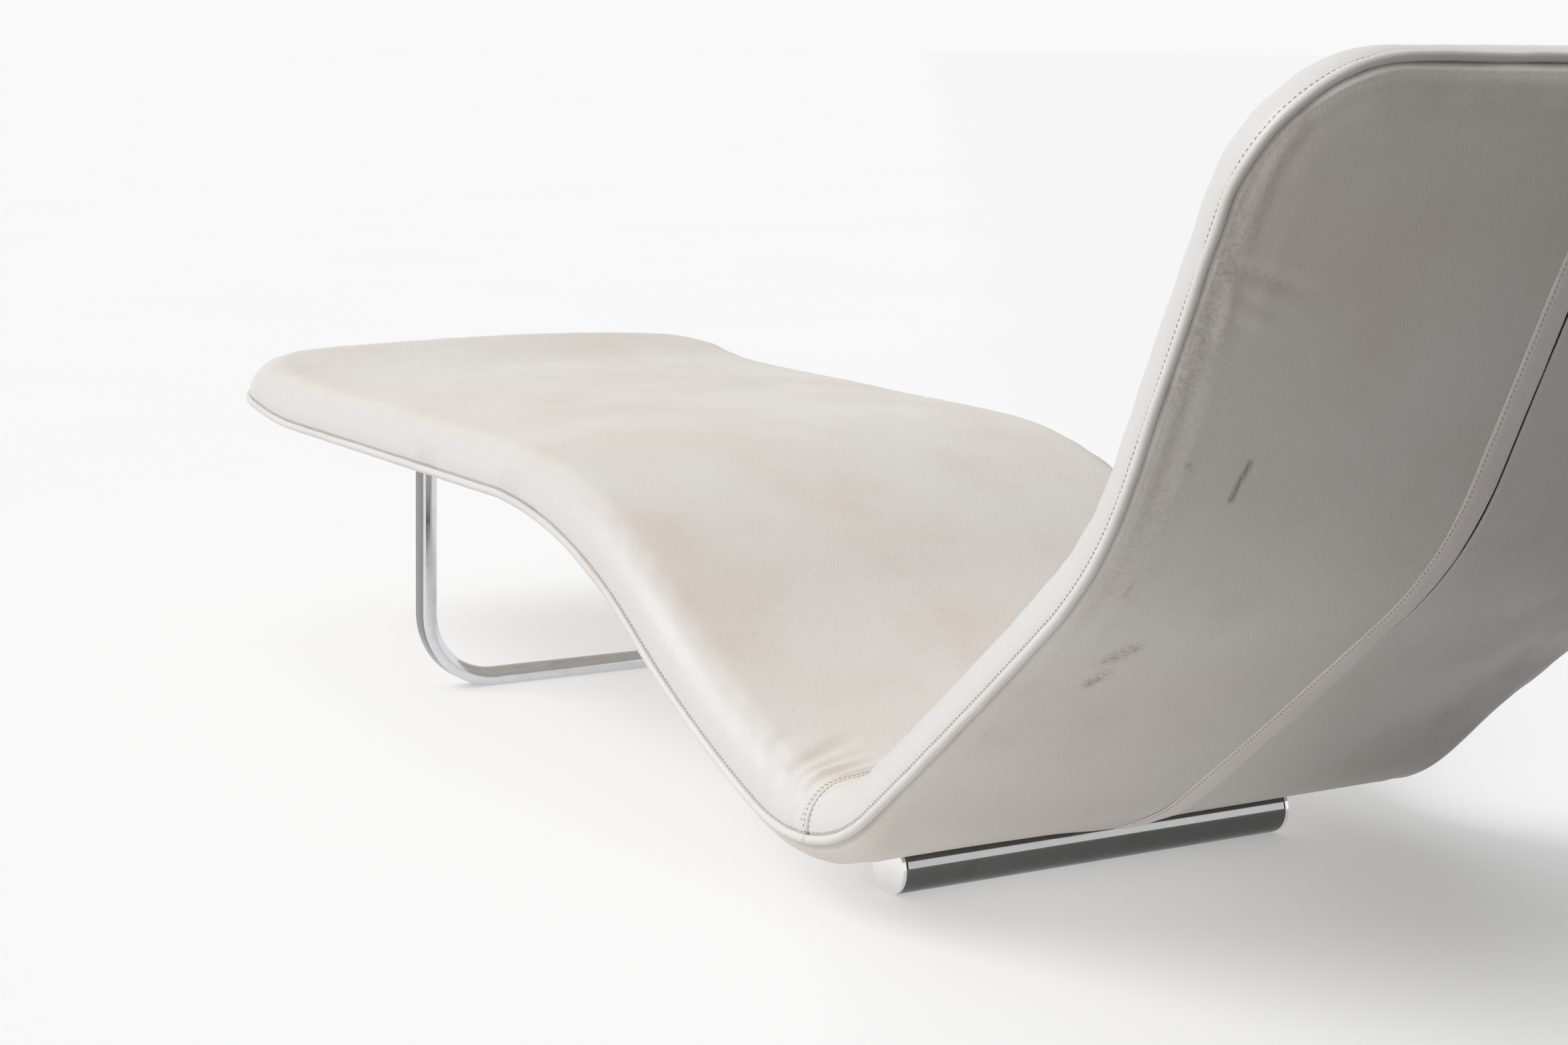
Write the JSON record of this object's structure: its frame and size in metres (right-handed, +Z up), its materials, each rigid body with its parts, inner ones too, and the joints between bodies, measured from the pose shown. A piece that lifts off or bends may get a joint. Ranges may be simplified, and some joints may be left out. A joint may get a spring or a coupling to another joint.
{
  "type": "relaxation lounger",
  "caption": "Free-standing padded lounger with an S-shaped leather shell, a zip down its back, a round foot bar under the seat and a U-shaped floor leg.",
  "frame": {"origin": "On the floor, under the middle of the foot bar, at the middle of the lounger's width", "axes": "+X from the foot end towards the head end, +Y towards the far side in the picture, +Z up"},
  "size_m": [1.8767, 0.657, 0.7416],
  "materials": {
    "foam": "matte",
    "leather": "satin",
    "leather_piping": "satin",
    "leather_flap": "satin",
    "zip_tape": "matte",
    "zip_teeth": "satin",
    "zip_metal": "satin",
    "frame_steel": "satin",
    "webbing": "matte",
    "fastener": "satin",
    "rubber": "matte",
    "chrome": "polished"
  },
  "bodies": {
    "lounger": {"front_foam": "foam", "back_foam": "foam", "seat_cover": "leather", "back_cover": "leather", "rear_panel_left": "leather", "rear_panel_right": "leather", "seat_piping": "leather_piping", "back_piping": "leather_piping", "zip_flap": "leather_flap", "zip_tape_left": "zip_tape", "zip_tape_right": "zip_tape", "zip_teeth_left": "zip_teeth", "zip_teeth_right": "zip_teeth", "zip_stops": "zip_metal", "frame_rail_left": "frame_steel", "frame_rail_right": "frame_steel", "frame_head_tube": "frame_steel", "frame_foot_tube": "frame_steel", "frame_cross_tubes": "frame_steel", "webbing_straps": "webbing", "bar_mount_plate": "frame_steel", "leg_socket_left": "frame_steel", "leg_socket_right": "frame_steel", "leg_set_screws": "fastener", "bar_spacers": "fastener", "bar_studs": "fastener", "bar_nuts": "fastener", "bar_pads": "rubber", "foot_bar": "chrome", "bar_cap_left": "chrome", "bar_cap_right": "chrome", "floor_leg": "chrome"},
    "slider": {"zip_slider": "zip_metal"},
    "pull": {"zip_pull": "zip_metal"}
  },
  "joints": [
    {"name": "zip_slide", "type": "slide", "parent": "lounger", "child": "slider", "axis": [-0.4019, 0, -0.9157], "range_m": [0, 0.19]},
    {"name": "pull_swing", "type": "hinge", "parent": "slider", "child": "pull", "pos_m": [0.5695, 0.004, 0.65972], "axis": [0, 1, 0], "range_deg": [-8, 0]}
  ]
}
